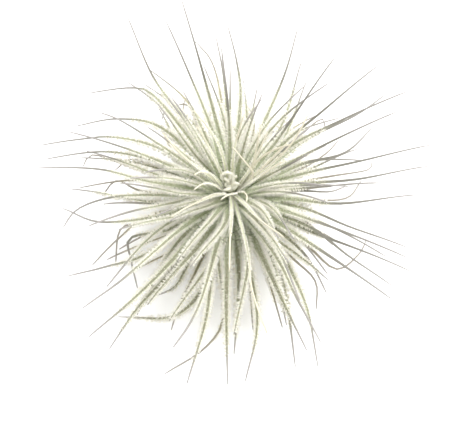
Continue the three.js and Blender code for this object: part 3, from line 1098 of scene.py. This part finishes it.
def dry_scale():
    """One dried, torn leaf base, standing on the ground plane and curved round the stem's axis."""
    bpy.ops.object.select_all(action="DESELECT")
    bpy.ops.mesh.primitive_grid_add(x_subdivisions=SCALE_STEPS, y_subdivisions=SCALE_STEPS, size=1)
    scale = bpy.context.object
    place = points_of(scale.data)
    across, up = place[:, 0] * 2, place[:, 1] + 0.5
    tears = SCALE_TORN * np.abs(np.sin(SCALE_TEARS * across + SCALE_TEARS_START))
    height = up * (1 - tears - SCALE_SIDES_DOWN * across**2) * SCALE_HEIGHT
    narrows, narrows_power = SCALE_NARROWS
    spreads, spreads_power = SCALE_SPREADS
    angle = across * SCALE_WIDTH / 2 / SCALE_RADIUS * (1 - narrows * up**narrows_power)
    radius = SCALE_RADIUS + spreads * up**spreads_power - SCALE_SIDES_IN * across**2
    scale.data.vertices.foreach_set("co", np.column_stack([
        radius * np.cos(angle), radius * np.sin(angle), height]).ravel())
    scale.data.transform(Matrix.Scale(MM, 4))
    select_only(scale)
    shell = scale.modifiers.new("shell", "SOLIDIFY")
    shell.thickness = SCALE_THICKNESS * MM
    shell.offset = 0
    bpy.ops.object.modifier_apply(modifier=shell.name)
    scale.data.shade_smooth()
    return scale


def make_scales():
    """Dried leaf bases that overlap all round the stub, up to where the living leaves start."""
    master = dry_scale()
    master.data.materials.append(
        bark_finish("dry_scale", dark=colour(112, 92, 70), pale=colour(186, 168, 138)))
    scales = []
    for i in range(SCALES):
        random = np.random.default_rng([len(AGES) + 1, i])
        height = between(SCALE_HEIGHTS, i / (SCALES - 1))
        size = stem_radius(height) / SCALE_RADIUS
        turn = math.radians(i * GOLDEN_ANGLE + random.uniform(-SCALE_TURN_VARIES, SCALE_TURN_VARIES))
        scale = new_object("scale", master.data.copy())
        stretch = random.uniform(*SCALE_STRETCHES)
        scale.data.transform(
            Matrix.Translation((0, 0, height * MM)) @ Matrix.Rotation(turn, 4, "Z")
            @ Matrix.Diagonal((size, size, stretch, 1)))
        scales.append(scale)
    bpy.data.objects.remove(master)
    finish_piece(join_as("dry_scales", scales), "stem")


# Setting

def make_camera():
    """The photograph's view: well above the rosette, looking down and away along +Y."""
    elevation = math.radians(CAMERA_ELEVATION)
    forward = Vector((0, math.cos(elevation), -math.sin(elevation)))
    right = Vector((1, 0, 0))
    up = right.cross(forward)
    shift_right = (AIM_PIXEL[0] - PICTURE[0] / 2) / FOCAL_PIXELS
    shift_up = (PICTURE[1] / 2 - AIM_PIXEL[1]) / FOCAL_PIXELS
    to_aim = (forward + right * shift_right + up * shift_up) * CAMERA_DISTANCE
    data = bpy.data.cameras.new("camera")
    data.sensor_width = SENSOR_WIDTH
    data.lens = FOCAL_PIXELS / PICTURE[0] * SENSOR_WIDTH
    data.clip_start = CLIP_START
    data.clip_end = CLIP_END
    camera = new_object("camera", data)
    camera.location = (Vector((0, 0, AIM_HEIGHT)) - to_aim) * MM
    camera.rotation_mode = "QUATERNION"
    camera.rotation_quaternion = forward.to_track_quat("-Z", "Y")
    bpy.context.scene.camera = camera


def make_floor():
    bpy.ops.object.select_all(action="DESELECT")
    bpy.ops.mesh.primitive_plane_add(size=FLOOR_SIZE)
    floor = bpy.context.object
    floor.name = "floor"
    finish = Finish("floor")
    finish.set(base_color=(FLOOR_SHADE, FLOOR_SHADE, FLOOR_SHADE, 1), roughness=0.9)
    floor.data.materials.append(finish.material)


def make_light(name, power, size, place):
    """A soft light that looks at the plant's middle."""
    data = bpy.data.lights.new(name, "AREA")
    data.energy = power
    data.shape = "DISK"
    data.size = size
    light = new_object(name, data)
    light.location = place
    light.rotation_mode = "QUATERNION"
    light.rotation_quaternion = (Vector(LIGHTS_AIM) - light.location).to_track_quat("-Z", "Y")


def make_setting():
    world = bpy.data.worlds.new("studio")
    world.use_nodes = True
    world.node_tree.nodes["Background"].inputs["Color"].default_value = (1, 1, 1, 1)
    world.node_tree.nodes["Background"].inputs["Strength"].default_value = WORLD_STRENGTH
    bpy.context.scene.world = world
    bpy.context.scene.view_settings.view_transform = "Standard"
    bpy.context.scene.cycles.diffuse_bounces = DIFFUSE_BOUNCES
    make_floor()
    for name, (power, size, place) in LIGHTS.items():
        make_light(name, power, size, place)


make_camera()
make_setting()
leaves = all_leaves()
for age in AGES:
    make_leaves(age, [leaf for leaf in leaves if leaf["age"] == age])
make_heart()
make_stem()
make_scales()
